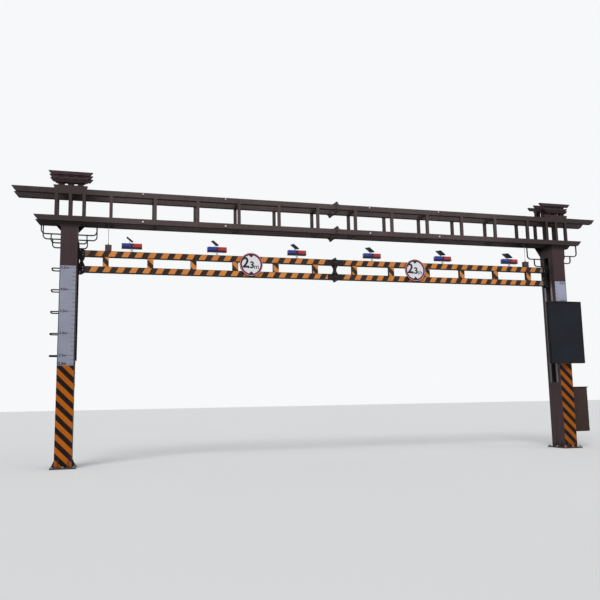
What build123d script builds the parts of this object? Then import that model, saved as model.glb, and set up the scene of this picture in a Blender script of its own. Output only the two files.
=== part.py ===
"""Lifting height restriction barrier over a carriageway.

Two box columns carry a four-chord girder with a stacked bracket cap over each column. Between
the columns a striped ladder frame hangs on two cables and runs up and down in guide channels.

Frame: millimetres, X along the barrier, Y across it with the approach side at -Y, Z up. The
pieces are drawn about the middle of the barrier, and each finished piece is moved so that the
origin lies on the ground in the middle of the left foot.
"""

from build123d import *
import os

os.makedirs("parts", exist_ok=True)

SIDES = {"left": -1, "right": 1}
FACES = {"front": -1, "back": 1}

# Columns
column_pitch = 13030.0
column_width = 375.0
column_depth = 570.0
column_wall = 10.0
column_cap_thickness = 12.0

# Base plates
base_plate_width = 550.0
base_plate_depth = 770.0
base_plate_thickness = 30.0
anchor_hole_radius = 18.0
anchor_edge = 40.0
base_rib_height = 170.0
base_rib_reach = 75.0
base_rib_thickness = 14.0
base_rib_spread = 230.0

# Girder of four chords
girder_underside = 5600.0
girder_depth = 600.0
chord_height = 125.0
chord_depth = 120.0
chord_gap = 520.0
upper_overhang = 1280.0
lower_overhang = 790.0
chord_end_cut = 105.0
post_size = 72.0
posts_per_half = 6
first_post_offset = 920.0
head_post_pitch = 305.0
tie_size = 80.0
tie_clearance = 20.0
flange_thickness = 16.0
flange_margin = 75.0
flange_chamfer = 55.0
splice_rib_length = 110.0
splice_rib_height = 65.0
splice_rib_thickness = 10.0

# Gussets under the girder at the column heads, the larger one inside the right column
head_gusset_reach = 130.0
head_gusset_drop = 150.0
large_gusset_reach = 160.0
large_gusset_drop = 250.0
head_gusset_thickness = 12.0

# Stacked bracket caps
cap_pitch = 215.0
cap_base_length = 760.0
cap_base_thickness = 75.0
cap_base_slope = 0.35
cap_post_width = 120.0
cap_post_height = 150.0
cap_middle_length = 810.0
cap_middle_thickness = 50.0
cap_cross_length = 680.0
cap_cross_thickness = 50.0
cap_top_length = 990.0
cap_top_thickness = 85.0
cap_plank_depth = 60.0
cap_plank_pitch = 268.0
cap_slope = 0.8

# Scroll brackets bent from square bar
scroll_bar_size = 26.0
scroll_reach = 422.0
scroll_drop = 322.0
scroll_bend = 95.0
small_scroll_reach = 205.0
small_scroll_drop = 205.0
small_scroll_bend = 75.0
scroll_face_offset = 270.0

# Climbing irons of square bar on the left column
iron_size = 25.0
iron_reach = 175.0
iron_width = 360.0
iron_bend = 70.0
iron_pitch = 500.0
iron_count = 5
first_iron_height = 2500.0

# Guide channels in the inner column faces
guide_bottom = 1770.0
guide_top_gap = 340.0
guide_slot_width = 200.0
guide_sheet = 8.0
guide_channel_depth = 110.0
guide_lip_width = 75.0
guide_lip_thickness = 6.0

# Ruler plates
ruler_bottom = 2270.0
ruler_height = 2280.0
ruler_width = 350.0
ruler_thickness = 4.0
ruler_edge = 5.0

# Display and its bracket on the right column
display_width = 1065.0
display_height = 1700.0
display_depth = 100.0
display_bottom = 2270.0
display_shift = -20.0
display_corner = 12.0
display_bracket_depth = 60.0
display_rail_height = 80.0
display_rail_length = 860.0
display_rail_inset = 300.0
display_spine_width = 120.0

# Control cabinet on the right column
cabinet_width = 500.0
cabinet_depth = 400.0
cabinet_height = 1210.0
cabinet_bottom = 430.0
cabinet_gap = 20.0
cabinet_front = -170.0
cabinet_roof_overhang = 20.0
cabinet_roof_thickness = 25.0
cabinet_bracket_height = 60.0
cabinet_bracket_inset = 150.0

# Lifting frame, drawn at its raised position
lift_below_girder = 625.0
lift_height = 525.0
lift_chord_height = 150.0
lift_depth = 100.0
lift_post_width = 140.0
first_lift_post_offset = 822.0
lift_post_pitch = 1032.0
lift_end_gap = 162.0
lift_flange_thickness = 16.0
lift_flange_margin = 45.0
lift_rib_length = 90.0
lift_rib_waist = 30.0
lift_rib_thickness = 12.0
lug_offset = 875.0
lug_width = 150.0
lug_height = 150.0
cable_radius = 6.0

# Carriages at the ends of the lifting frame
running_clearance = 12.0
carriage_neck = 60.0
carriage_lobe = 175.0
carriage_overhang = 45.0
roller_radius = 80.0
roller_length = 50.0
roller_inset = 25.0
axle_radius = 16.0
roller_edge = 65.0

# Round signs
sign_offset = 2214.0
sign_radius = 290.0
sign_thickness = 18.0
sign_rim = 12.0
sign_rim_width = 14.0
sign_rise = 312.0
sign_bracket_width = 160.0
sign_bracket_depth = 40.0
sign_bracket_inset = 25.0

# Warning lamps
lamp_pitch = 2045.0
lamp_shift = 15.0
lamp_count = 6
lamp_length = 480.0
lamp_height = 125.0
lamp_depth = 130.0
lamp_round = 40.0
lamp_stand_height = 85.0
lamp_stand_size = 28.0
lamp_foot_length = 120.0
lamp_foot_depth = 80.0
lamp_foot_thickness = 8.0
panel_length = 185.0
panel_width = 310.0
panel_thickness = 14.0
panel_tilt = 38.0
panel_lean = 9.0
panel_rise = 95.0
panel_shift = -50.0
panel_arm_size = 12.0

# Values that follow from the ones above
column_x = column_pitch / 2
inner_face = column_x - column_width / 2
outer_face = column_x + column_width / 2
chord_y = (girder_depth - chord_depth) / 2
lower_top = girder_underside + chord_height
upper_bottom = lower_top + chord_gap
girder_top = upper_bottom + chord_height
first_post_x = column_x - first_post_offset
post_pitch = 2 * first_post_x / (2 * posts_per_half - 1)
post_places = [first_post_x - n * post_pitch for n in range(posts_per_half)]
first_lift_post_x = column_x - first_lift_post_offset
lift_post_places = [first_lift_post_x - n * lift_post_pitch for n in range(posts_per_half)]
head_post_places = [column_x + n * head_post_pitch for n in (-1, 0, 1)]
guide_top = girder_underside - guide_top_gap
lift_top = girder_underside - lift_below_girder
lift_bottom = lift_top - lift_height
lift_end = inner_face - lift_end_gap
lug_x = column_x - lug_offset
sign_centre = lift_bottom + sign_rise


def slanted_bar(x_low, x_high, z_low, height, cut_low, cut_high, y_mid, depth):
    """Adds a bar along X whose ends lean outwards towards the top."""
    with BuildSketch(Plane.XZ.offset(-(y_mid + depth / 2))) as profile:
        with BuildLine():
            Polyline(
                (x_low + cut_low, z_low),
                (x_high - cut_high, z_low),
                (x_high, z_low + height),
                (x_low, z_low + height),
                close=True,
            )
        make_face()
    extrude(profile.sketch, amount=depth)


def box_between(x_range, y_range, z_range, mode=Mode.ADD):
    """Adds or cuts a box between three pairs of coordinates."""
    middle = [(low + high) / 2 for low, high in (x_range, y_range, z_range)]
    size = [abs(high - low) for low, high in (x_range, y_range, z_range)]
    with Locations(tuple(middle)):
        Box(*size, mode=mode)


def finish(builder, name):
    """Moves a finished piece into the frame, labels it and writes it as its own file."""
    piece = builder.part.moved(Location((column_x, 0, 0)))
    piece.label = name
    export_step(piece, f"parts/{name}.step")


def add_rib(points, y_mid, thickness):
    """Adds a flat rib in the plane of the barrier from its corner points."""
    with BuildSketch(Plane.XZ.offset(-(y_mid + thickness / 2))) as profile:
        with BuildLine():
            Polyline(*points, close=True)
        make_face()
    extrude(profile.sketch, amount=thickness)


def anchor_places():
    """Places of the eight anchor holes about a column's axis."""
    x_edge = base_plate_width / 2 - anchor_edge
    y_edge = base_plate_depth / 2 - anchor_edge
    grid = [(x, y) for x in (-x_edge, 0, x_edge) for y in (-y_edge, 0, y_edge)]
    return [place for place in grid if place != (0, 0)]


def make_column(name, side):
    """Box column with a capped top, its guide slot and the gussets at its head."""
    x_mid = side * column_x
    with BuildPart() as column:
        with BuildSketch(Plane.XY.offset(base_plate_thickness)):
            with Locations((x_mid, 0)):
                Rectangle(column_width, column_depth)
                Rectangle(
                    column_width - 2 * column_wall,
                    column_depth - 2 * column_wall,
                    mode=Mode.SUBTRACT,
                )
        extrude(amount=girder_underside - base_plate_thickness)
        box_between(
            (x_mid - column_width / 2, x_mid + column_width / 2),
            (-column_depth / 2, column_depth / 2),
            (girder_underside - column_cap_thickness, girder_underside),
        )
        box_between(
            (side * (inner_face - column_wall), side * (inner_face + column_wall)),
            (-guide_slot_width / 2, guide_slot_width / 2),
            (guide_bottom, guide_top),
            mode=Mode.SUBTRACT,
        )
        for face in FACES.values():
            y_edge = face * (column_depth - head_gusset_thickness) / 2
            for edge, way in ((inner_face, -1), (outer_face, 1)):
                large = (name, way) == ("right", -1)
                if large and face < 0:
                    continue
                reach = large_gusset_reach if large else head_gusset_reach
                drop = large_gusset_drop if large else head_gusset_drop
                corners = (
                    (side * edge, girder_underside),
                    (side * (edge + way * reach), girder_underside),
                    (side * edge, girder_underside - drop),
                )
                add_rib(corners, y_edge, head_gusset_thickness)
    finish(column, f"column_{name}")


def make_climbing_iron(number, side):
    """Bent square bar that stands out of the column's outer face as a step."""
    height = first_iron_height + number * iron_pitch
    x_root = side * outer_face
    x_tip = side * (outer_face + iron_reach)
    with BuildPart() as iron:
        with BuildLine() as iron_path:
            FilletPolyline(
                (x_root, -iron_width / 2, height),
                (x_tip, -iron_width / 2, height),
                (x_tip, iron_width / 2, height),
                (x_root, iron_width / 2, height),
                radius=iron_bend,
            )
        with BuildSketch(Plane(origin=iron_path.line @ 0, z_dir=iron_path.line % 0)):
            Rectangle(iron_size, iron_size)
        sweep(path=iron_path.line)
    finish(iron, f"climbing_iron_{number + 1}")


def make_base_plate(name, side):
    """Foot plate with anchor holes and welded ribs round the column."""
    x_mid = side * column_x
    with BuildPart() as base:
        with BuildSketch():
            with Locations((x_mid, 0)):
                Rectangle(base_plate_width, base_plate_depth)
            with Locations(*[(x_mid + x, y) for x, y in anchor_places()]):
                Circle(anchor_hole_radius, mode=Mode.SUBTRACT)
        extrude(amount=base_plate_thickness)
        rib_top = base_plate_thickness + base_rib_height
        for way in (-1, 1):
            for place in (-base_rib_spread / 2, base_rib_spread / 2):
                x_root = x_mid + way * column_width / 2
                with BuildSketch(Plane.XZ.offset(-place - base_rib_thickness / 2)):
                    with BuildLine():
                        Polyline(
                            (x_root, base_plate_thickness),
                            (x_root + way * base_rib_reach, base_plate_thickness),
                            (x_root, rib_top),
                            close=True,
                        )
                    make_face()
                extrude(amount=base_rib_thickness)
                y_root = way * column_depth / 2
                with BuildSketch(Plane.YZ.offset(x_mid + place - base_rib_thickness / 2)):
                    with BuildLine():
                        Polyline(
                            (y_root, base_plate_thickness),
                            (y_root + way * base_rib_reach, base_plate_thickness),
                            (y_root, rib_top),
                            close=True,
                        )
                    make_face()
                extrude(amount=base_rib_thickness)
    finish(base, f"base_plate_{name}")


def make_guide_channel(name, side):
    """Channel that lines the slot, with a flat lip on each side of it."""
    half = guide_slot_width / 2
    heights = (guide_bottom, guide_top)
    face_x = side * (inner_face - guide_lip_thickness)
    back_x = side * (inner_face + guide_channel_depth)
    with BuildPart() as channel:
        box_between((face_x, back_x), (-half, half), heights)
        box_between(
            (face_x, back_x - side * guide_sheet),
            (-half + guide_sheet, half - guide_sheet),
            heights,
            mode=Mode.SUBTRACT,
        )
        for way in (-1, 1):
            box_between(
                (face_x, side * inner_face), (way * half, way * (half + guide_lip_width)), heights
            )
    finish(channel, f"guide_channel_{name}")


def add_flange(x_face, way, y_mid, z_mid):
    """Adds a chamfered splice flange round the end of a chord, with a rib above and below."""
    with BuildSketch(Plane.YZ.offset(x_face)) as outline:
        with Locations((y_mid, z_mid)):
            flange = Rectangle(chord_depth + 2 * flange_margin, chord_height + 2 * flange_margin)
        chamfer(flange.vertices(), length=flange_chamfer)
    extrude(outline.sketch, amount=way * flange_thickness)
    for up in (-1, 1):
        z_root = z_mid + up * chord_height / 2
        corners = (
            (x_face + way * flange_thickness, z_root),
            (x_face + way * (flange_thickness + splice_rib_length), z_root),
            (x_face + way * flange_thickness, z_root + up * splice_rib_height),
        )
        add_rib(corners, y_mid, splice_rib_thickness)


def make_chord(name, side, level, face_name, face):
    """Half of a chord; a lower chord carries the posts of its face."""
    y_mid = face * chord_y
    z_low = girder_underside if level == "lower" else upper_bottom
    overhang = lower_overhang if level == "lower" else upper_overhang
    tip = side * (column_x + overhang)
    x_range = sorted((0, tip))
    cuts = [chord_end_cut if x == tip else 0 for x in x_range]
    with BuildPart() as chord:
        slanted_bar(*x_range, z_low, chord_height, *cuts, y_mid, chord_depth)
        add_flange(0, side, y_mid, z_low + chord_height / 2)
        if level == "lower":
            y_post = face * (girder_depth - post_size) / 2
            for x in post_places + head_post_places:
                box_between(
                    (side * x - post_size / 2, side * x + post_size / 2),
                    (y_post - post_size / 2, y_post + post_size / 2),
                    (lower_top, upper_bottom),
                )
        if face_name == "back":
            y_inner = girder_depth / 2 - chord_depth
            for x in post_places[1::2] + head_post_places[1:2]:
                box_between(
                    (side * x - tie_size / 2, side * x + tie_size / 2),
                    (-y_inner, y_inner),
                    (z_low, z_low + tie_size),
                )
    finish(chord, f"{level}_chord_{face_name}_{name}")


def make_bracket_cap(name, side):
    """Stacked cap: planks along the girder, posts, cross planks and long top planks."""
    x_mid = side * column_x
    rows = [x_mid + n * cap_pitch for n in (-1, 0, 1)]
    planks = [n * cap_plank_pitch for n in (-1, 0, 1)]
    z_posts = girder_top + cap_base_thickness
    z_middle = z_posts + cap_post_height
    z_cross = z_middle + cap_middle_thickness
    z_top = z_cross + cap_cross_thickness
    with BuildPart() as cap:
        for y in (-chord_y, chord_y):
            ends = (x_mid - cap_base_length / 2, x_mid + cap_base_length / 2)
            cut = cap_base_slope * cap_base_thickness
            slanted_bar(*ends, girder_top, cap_base_thickness, cut, cut, y, chord_depth)
            for x in rows:
                box_between(
                    (x - cap_post_width / 2, x + cap_post_width / 2),
                    (y - cap_post_width / 2, y + cap_post_width / 2),
                    (z_posts, z_middle if y < 0 else z_cross),
                )
        for y in planks:
            if y <= 0:
                ends = (x_mid - cap_middle_length / 2, x_mid + cap_middle_length / 2)
                cut = cap_slope * cap_middle_thickness
                slanted_bar(*ends, z_middle, cap_middle_thickness, cut, cut, y, cap_plank_depth)
            ends = (x_mid - cap_top_length / 2, x_mid + cap_top_length / 2)
            cut = cap_slope * cap_top_thickness
            slanted_bar(*ends, z_top, cap_top_thickness, cut, cut, y, cap_plank_depth)
        for x in rows:
            cut = cap_slope * cap_cross_thickness
            with BuildSketch(Plane.YZ.offset(x - cap_post_width / 2)):
                with BuildLine():
                    Polyline(
                        (-cap_cross_length / 2 + cut, z_cross),
                        (cap_cross_length / 2 - cut, z_cross),
                        (cap_cross_length / 2, z_top),
                        (-cap_cross_length / 2, z_top),
                        close=True,
                    )
                make_face()
            extrude(amount=cap_post_width)
    finish(cap, f"bracket_cap_{name}")


def make_scroll_bracket(name, side, place, face_name, face):
    """Bent square bar from the lower chord to the column, with a smaller one below it."""
    way = 1 if place == "outer" else -1
    edge = outer_face if place == "outer" else inner_face
    y_bar = face * scroll_face_offset
    x_big = side * (edge + way * scroll_reach)
    x_small = side * (edge + way * small_scroll_reach)
    z_big = girder_underside - scroll_drop
    z_small = z_big - small_scroll_drop
    x_start = side * edge
    with BuildPart() as scroll:
        with BuildLine() as big_path:
            FilletPolyline(
                (x_big, y_bar, girder_underside),
                (x_big, y_bar, z_big),
                (x_start, y_bar, z_big),
                radius=scroll_bend,
            )
        with BuildSketch(Plane(origin=big_path.line @ 0, z_dir=big_path.line % 0)):
            Rectangle(scroll_bar_size, scroll_bar_size)
        sweep(path=big_path.line)
        with BuildLine() as small_path:
            FilletPolyline(
                (x_small, y_bar, z_big),
                (x_small, y_bar, z_small),
                (x_start, y_bar, z_small),
                radius=small_scroll_bend,
            )
        with BuildSketch(Plane(origin=small_path.line @ 0, z_dir=small_path.line % 0)):
            Rectangle(scroll_bar_size, scroll_bar_size)
        sweep(path=small_path.line)
    finish(scroll, f"scroll_{name}_{place}_{face_name}")


def make_ruler_plate(name, side):
    """Thin plate that carries the height scale on a column's approach face."""
    x_edge = side * (outer_face - ruler_edge)
    with BuildPart() as ruler:
        box_between(
            (x_edge - side * ruler_width, x_edge),
            (-column_depth / 2 - ruler_thickness, -column_depth / 2),
            (ruler_bottom, ruler_bottom + ruler_height),
        )
    finish(ruler, f"ruler_plate_{name}")


def make_display():
    """Flat display housing in front of the right column."""
    y_back = -column_depth / 2 - display_bracket_depth
    with BuildPart() as display:
        with BuildSketch(Plane.XZ.offset(-y_back)):
            with Locations((column_x + display_shift, display_bottom + display_height / 2)):
                RectangleRounded(display_width, display_height, display_corner)
        extrude(amount=display_depth)
    finish(display, "display")


def make_display_bracket():
    """Two rails and a spine that hold the display off the column."""
    y_range = (-column_depth / 2 - display_bracket_depth, -column_depth / 2 - ruler_thickness)
    x_mid = column_x + display_shift
    rail_places = (
        display_bottom + display_rail_inset,
        display_bottom + display_height - display_rail_inset,
    )
    with BuildPart() as bracket:
        for z in rail_places:
            box_between(
                (x_mid - display_rail_length / 2, x_mid + display_rail_length / 2),
                y_range,
                (z - display_rail_height / 2, z + display_rail_height / 2),
            )
        box_between(
            (column_x - display_spine_width / 2, column_x + display_spine_width / 2),
            y_range,
            rail_places,
        )
    finish(bracket, "display_bracket")


def make_cabinet():
    """Control cabinet with a drip roof, on two brackets beside the right column."""
    x_low = outer_face + cabinet_gap
    x_range = (x_low, x_low + cabinet_width)
    y_range = (cabinet_front, cabinet_front + cabinet_depth)
    z_top = cabinet_bottom + cabinet_height
    over = cabinet_roof_overhang
    with BuildPart() as cabinet:
        box_between(x_range, y_range, (cabinet_bottom, z_top))
        box_between(
            (x_low, x_range[1] + over),
            (y_range[0] - over, y_range[1] + over),
            (z_top - cabinet_roof_thickness, z_top),
        )
        for z in (cabinet_bottom + cabinet_bracket_inset, z_top - cabinet_bracket_inset):
            box_between(
                (outer_face, x_low),
                y_range,
                (z - cabinet_bracket_height / 2, z + cabinet_bracket_height / 2),
            )
    finish(cabinet, "control_cabinet")


def make_sheave_tie(name, side):
    """Cross tie between the lower chords that the hoist cable enters."""
    y_inner = girder_depth / 2 - chord_depth
    with BuildPart() as tie:
        box_between(
            (side * lug_x - lug_width / 2, side * lug_x + lug_width / 2),
            (-y_inner, y_inner),
            (girder_underside + tie_clearance, lower_top),
        )
    finish(tie, f"sheave_tie_{name}")


def make_cable(name, side):
    """Taut hoist cable from the lug up to the cross tie."""
    with BuildPart() as cable:
        with BuildSketch(Plane.XY.offset(lift_top + lug_height)):
            with Locations((side * lug_x, 0)):
                Circle(cable_radius)
        extrude(amount=girder_underside + tie_clearance - lift_top - lug_height)
    finish(cable, f"hoist_cable_{name}")


def make_lift_half(name, side):
    """Half of the lifting ladder frame with its splice flange and cable lug."""
    ends = (0, side * lift_end)
    y_range = (-lift_depth / 2, lift_depth / 2)
    with BuildPart() as half:
        for z_low in (lift_bottom, lift_top - lift_chord_height):
            box_between(ends, y_range, (z_low, z_low + lift_chord_height))
        for x in lift_post_places:
            box_between(
                (side * x - lift_post_width / 2, side * x + lift_post_width / 2),
                y_range,
                (lift_bottom + lift_chord_height, lift_top - lift_chord_height),
            )
        box_between(
            (0, side * lift_flange_thickness),
            (y_range[0] - lift_flange_margin, y_range[1] + lift_flange_margin),
            (lift_bottom - lift_flange_margin, lift_top + lift_flange_margin),
        )
        x_flange = side * lift_flange_thickness
        x_rib = side * lift_rib_length
        for z_chord, z_edge in (
            (lift_bottom, lift_bottom - lift_flange_margin),
            (lift_top, lift_top + lift_flange_margin),
        ):
            outer_rib = ((x_flange, z_chord), (x_rib, z_chord), (x_flange, z_edge))
            add_rib(outer_rib, 0, lift_rib_thickness)
        z_inner = (lift_bottom + lift_chord_height, lift_top - lift_chord_height)
        hourglass = (
            (x_flange, z_inner[0]),
            (x_rib, z_inner[0]),
            (side * lift_rib_waist, sum(z_inner) / 2),
            (x_rib, z_inner[1]),
            (x_flange, z_inner[1]),
        )
        add_rib(hourglass, 0, lift_rib_thickness)
        box_between(
            (side * lug_x - lug_width / 2, side * lug_x + lug_width / 2),
            y_range,
            (lift_top, lift_top + lug_height),
        )
    finish(half, f"lift_frame_{name}")


def make_carriage(name, side):
    """Waisted end piece of the lifting frame with two guide rollers in the channel."""
    near = inner_face - guide_lip_thickness - running_clearance
    z_low = lift_bottom - carriage_overhang
    z_high = lift_top + carriage_overhang
    z_mid = (z_low + z_high) / 2
    x_mid = (near + lift_end) / 2
    with BuildPart() as carriage:
        with BuildSketch(Plane.XZ.offset(-lift_depth / 2)):
            with BuildLine():
                Polyline(
                    (side * lift_end, z_low + carriage_overhang),
                    (side * x_mid, z_low),
                    (side * near, z_low),
                    (side * near, z_low + carriage_lobe),
                    (side * (x_mid + carriage_neck / 2), z_mid),
                    (side * near, z_high - carriage_lobe),
                    (side * near, z_high),
                    (side * x_mid, z_high),
                    (side * lift_end, z_high - carriage_overhang),
                    (side * lift_end, z_high - carriage_lobe - carriage_overhang),
                    (side * (x_mid - carriage_neck / 2), z_mid),
                    (side * lift_end, z_low + carriage_lobe + carriage_overhang),
                    close=True,
                )
            make_face()
        extrude(amount=lift_depth)
        for z in (lift_bottom + roller_edge, lift_top - roller_edge):
            with BuildSketch(Plane.YZ.offset(side * near)):
                with Locations((0, z)):
                    Circle(axle_radius)
            extrude(amount=side * (inner_face + roller_inset - near))
            with BuildSketch(Plane.YZ.offset(side * (inner_face + roller_inset))):
                with Locations((0, z)):
                    Circle(roller_radius)
            extrude(amount=side * roller_length)
    finish(carriage, f"carriage_{name}")


def make_sign(name, side):
    """Round sign with a raised rim, on a bracket in front of the lifting frame."""
    x_mid = side * sign_offset
    y_frame = -lift_depth / 2
    y_back = y_frame - sign_bracket_depth
    with BuildPart() as sign:
        box_between(
            (x_mid - sign_bracket_width / 2, x_mid + sign_bracket_width / 2),
            (y_back, y_frame),
            (lift_bottom + sign_bracket_inset, lift_top - sign_bracket_inset),
        )
        with BuildSketch(Plane.XZ.offset(-y_back)):
            with Locations((x_mid, sign_centre)):
                Circle(sign_radius)
        extrude(amount=sign_thickness)
        with BuildSketch(Plane.XZ.offset(-y_back + sign_thickness)):
            with Locations((x_mid, sign_centre)):
                Circle(sign_radius)
                Circle(sign_radius - sign_rim_width, mode=Mode.SUBTRACT)
        extrude(amount=sign_rim)
    finish(sign, f"sign_{name}")


def make_lamp(number):
    """Two-colour warning lamp on a stand with a small tilted solar panel above it."""
    x_mid = (number - (lamp_count - 1) / 2) * lamp_pitch + lamp_shift
    z_bar = lift_top + lamp_stand_height
    z_bar_top = z_bar + lamp_height
    x_panel = x_mid + panel_shift
    z_panel = z_bar_top + panel_rise
    with BuildPart() as lamp:
        box_between(
            (x_mid - lamp_foot_length / 2, x_mid + lamp_foot_length / 2),
            (-lamp_foot_depth / 2, lamp_foot_depth / 2),
            (lift_top, lift_top + lamp_foot_thickness),
        )
        box_between(
            (x_mid - lamp_stand_size / 2, x_mid + lamp_stand_size / 2),
            (-lamp_stand_size / 2, lamp_stand_size / 2),
            (lift_top + lamp_foot_thickness, z_bar),
        )
        with BuildSketch(Plane.YZ.offset(x_mid - lamp_length / 2)):
            with Locations((0, z_bar + lamp_height / 2)):
                housing = Rectangle(lamp_depth, lamp_height)
            fillet(housing.vertices().sort_by(Axis.Z)[-2:], radius=lamp_round)
        extrude(amount=lamp_length)
        box_between(
            (x_panel - panel_arm_size / 2, x_panel + panel_arm_size / 2),
            (-panel_arm_size / 2, panel_arm_size / 2),
            (z_bar_top, z_panel),
        )
        with Locations(Location((x_panel, 0, z_panel), (panel_lean, panel_tilt, 0))):
            Box(panel_length, panel_width, panel_thickness)
    finish(lamp, f"lamp_{number + 1}")


for side_name, side_sign in SIDES.items():
    make_column(side_name, side_sign)
    make_base_plate(side_name, side_sign)
    make_guide_channel(side_name, side_sign)
    make_bracket_cap(side_name, side_sign)
    make_ruler_plate(side_name, side_sign)
    make_sheave_tie(side_name, side_sign)
    make_cable(side_name, side_sign)
    make_lift_half(side_name, side_sign)
    make_carriage(side_name, side_sign)
    make_sign(side_name, side_sign)
    for face_label, face_sign in FACES.items():
        for chord_level in ("lower", "upper"):
            make_chord(side_name, side_sign, chord_level, face_label, face_sign)
        for bracket_place in ("inner", "outer"):
            if (side_name, bracket_place, face_label) != ("right", "inner", "front"):
                make_scroll_bracket(side_name, side_sign, bracket_place, face_label, face_sign)

for iron_number in range(iron_count):
    make_climbing_iron(iron_number, SIDES["left"])
make_display()
make_display_bracket()
make_cabinet()
for lamp_number in range(lamp_count):
    make_lamp(lamp_number)
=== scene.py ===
"""Looks for a lifting height restriction barrier: paint, films, scales, signs, lamps and bolts.

Metres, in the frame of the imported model: X along the barrier, the approach side at -Y, Z up, and
the origin on the ground in the middle of the left foot. Heights on the lifting frame are those
of its place at rest.
"""

import math
import bmesh
import bpy
from mathutils import Matrix, Vector
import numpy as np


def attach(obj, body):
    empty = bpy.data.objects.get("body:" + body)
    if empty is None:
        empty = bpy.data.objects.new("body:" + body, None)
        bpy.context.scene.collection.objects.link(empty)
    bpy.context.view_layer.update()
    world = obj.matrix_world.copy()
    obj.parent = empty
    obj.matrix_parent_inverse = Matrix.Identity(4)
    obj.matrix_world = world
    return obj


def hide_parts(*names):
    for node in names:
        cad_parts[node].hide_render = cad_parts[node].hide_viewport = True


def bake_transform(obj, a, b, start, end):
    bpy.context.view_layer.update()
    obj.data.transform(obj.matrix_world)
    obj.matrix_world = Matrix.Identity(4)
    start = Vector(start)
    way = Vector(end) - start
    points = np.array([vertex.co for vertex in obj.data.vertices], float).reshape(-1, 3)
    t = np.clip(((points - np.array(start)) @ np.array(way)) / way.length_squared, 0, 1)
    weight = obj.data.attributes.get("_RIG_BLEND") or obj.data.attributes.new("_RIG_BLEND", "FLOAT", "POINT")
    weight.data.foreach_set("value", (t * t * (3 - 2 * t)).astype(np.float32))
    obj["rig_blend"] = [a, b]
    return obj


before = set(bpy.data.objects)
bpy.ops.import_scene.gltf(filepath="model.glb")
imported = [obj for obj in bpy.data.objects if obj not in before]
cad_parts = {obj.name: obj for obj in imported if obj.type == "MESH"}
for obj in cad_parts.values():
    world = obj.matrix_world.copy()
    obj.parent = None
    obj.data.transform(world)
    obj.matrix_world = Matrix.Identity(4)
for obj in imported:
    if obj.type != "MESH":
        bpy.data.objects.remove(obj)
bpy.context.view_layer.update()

# Columns and girder
COLUMNS = {"left": 0.0, "right": 13.03}
INWARD = {"left": 1, "right": -1}
MIDDLE = COLUMNS["right"] / 2
COLUMN_HALF = 0.1875
COLUMN_FRONT = -0.285
GUIDE_LIP = COLUMN_HALF + 0.006
GIRDER_FRONT = -0.300
GIRDER_UNDERSIDE = 5.600
CHORD_DEPTHS = (-0.240, 0.240)
CHORD_HEIGHTS = (5.6625, 6.3075)
FLANGE_FACE = 0.016
TIE_UNDERSIDE = 5.620
PLATE_TOP = 0.030

# Ruler plates
RULER_FACE = COLUMN_FRONT - 0.004
RULER_HALF = 0.175
RULER_BOTTOM = 2.27
HEIGHT_LIMIT = 2.3
SCALE_START = 2.4
SCALE_STEP = 0.1
SCALE_LINES = 22

# Lifting frame
LIFT_FACE = -0.05
LIFT_BOTTOM = 4.450
LIFT_TOP = 4.975
LIFT_CHORD = 0.150
LIFT_POST_HALF = 0.070
LIFT_POST_REACH = 5.693
LIFT_POST_PITCH = 1.032
LIFT_POSTS = [
    MIDDLE + side * (LIFT_POST_REACH - n * LIFT_POST_PITCH) for side in (-1, 1) for n in range(6)
]
LUG_PLACE = 0.875
LUG_TOP = 5.125

# Hazard films: pitch and lean of the bands, and the phase of each strip
FILM_PROUD = 0.0009
FILM_SUNK = 0.001
CHORD_PITCH = 0.3045
CHORD_LEAN = -0.55
UPRIGHT_PITCH = 0.2875
UPRIGHT_LEAN = 1.0
COLUMN_BANDS = {"left": 1.970, "right": 14.905}
LEFT_POST_BANDS = (0.225, 0.050, 0.075, 0.045, 0.112, 0.162)
RIGHT_POST_BANDS = (0.213, 0.150, 0.150, 0.225, 0.275, 0.088)
ABOVE_COLUMN_FILM = 4.0
ABOVE_LOWER_CHORD = 4.7

# Signs and lamps
SIGN_PLACE = 2.214
SIGN_FACE = -0.108
SIGN_HEIGHT = 4.762
SIGN_RADIUS = 0.290
LAMP_PITCH = 2.045
LAMP_SHIFT = 0.015
LAMP_PLACES = [MIDDLE + LAMP_SHIFT + (n - 2.5) * LAMP_PITCH for n in range(6)]
LAMP_BOTTOM = 5.060
LAMP_TOP = 5.185

# Opposite corners of the boxes on the right column
DISPLAY = ((12.4775, -0.445, 2.270), (13.5425, -0.345, 3.970))
CABINET = ((13.2375, -0.170, 0.430), (13.7375, 0.230, 1.640))

CAPITAL_HEIGHT = 0.73  # of plain lettering, as a share of its size
SMOOTH_ANGLE = math.radians(32)


def tone(red, green, blue):
    """Linear colour from the 0 to 255 values that a screen shows."""
    parts = [value / 255 for value in (red, green, blue)]
    linear = [p / 12.92 if p <= 0.04045 else ((p + 0.055) / 1.055) ** 2.4 for p in parts]
    return (*linear, 1.0)


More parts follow.
